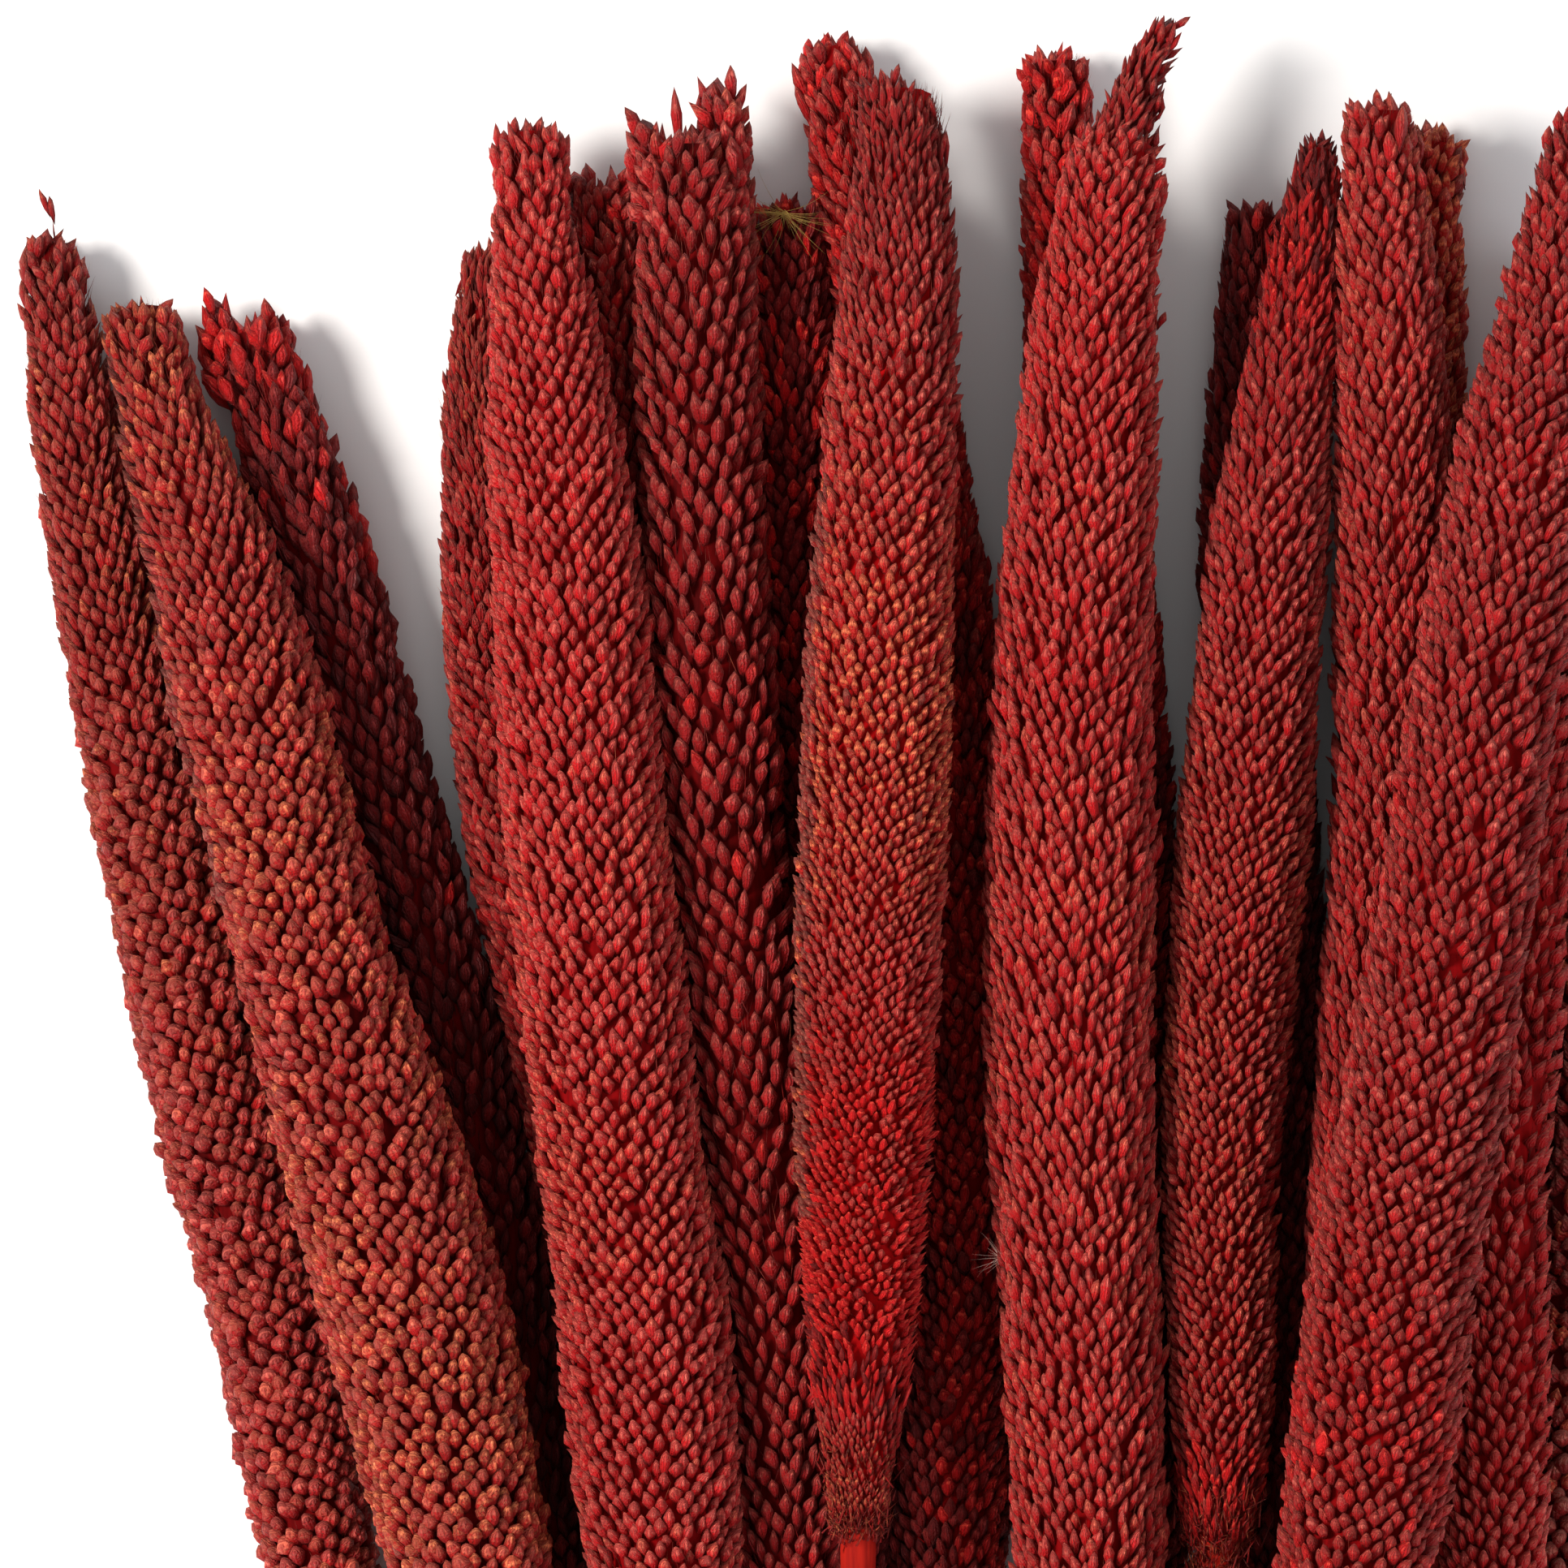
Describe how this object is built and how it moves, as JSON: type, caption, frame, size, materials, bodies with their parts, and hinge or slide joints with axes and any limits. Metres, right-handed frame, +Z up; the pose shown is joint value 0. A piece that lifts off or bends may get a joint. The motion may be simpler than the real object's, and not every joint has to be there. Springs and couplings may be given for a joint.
{
  "type": "dyed pearl millet bunch",
  "caption": "Fan-shaped bunch of dyed dried pearl millet spikes on bare stems, bound with twine and laid flat.",
  "frame": {"origin": "centre of the bounding box, on the floor that the bunch lies on", "axes": "+Y along the bunch from the cut stem ends to the tips, +X to the right as one looks down on the bunch with the tips at the top, +Z up"},
  "size_m": [0.2656, 0.6054, 0.0617],
  "materials": {
    "grain_brick": "matte dyed seed husks, brick red, dusty, lit front spikes",
    "grain_crimson": "matte dyed seed husks, deep crimson, back spikes",
    "twine": "natural twisted jute, undyed"
  },
  "bodies": {
    "root": {"spike_01": "grain_brick", "spike_02": "grain_brick", "spike_03": "grain_crimson", "spike_04": "grain_crimson", "spike_05": "grain_brick", "spike_06": "grain_crimson", "spike_07": "grain_brick", "spike_08": "grain_crimson", "spike_09": "grain_crimson", "spike_10": "grain_brick", "spike_11": "grain_crimson", "spike_12": "grain_brick", "spike_13": "grain_crimson", "spike_14": "grain_brick", "spike_15": "grain_brick", "spike_16": "grain_crimson", "spike_17": "grain_brick", "spike_18": "grain_brick", "spike_19": "grain_crimson", "tie": "twine"}
  },
  "joints": []
}
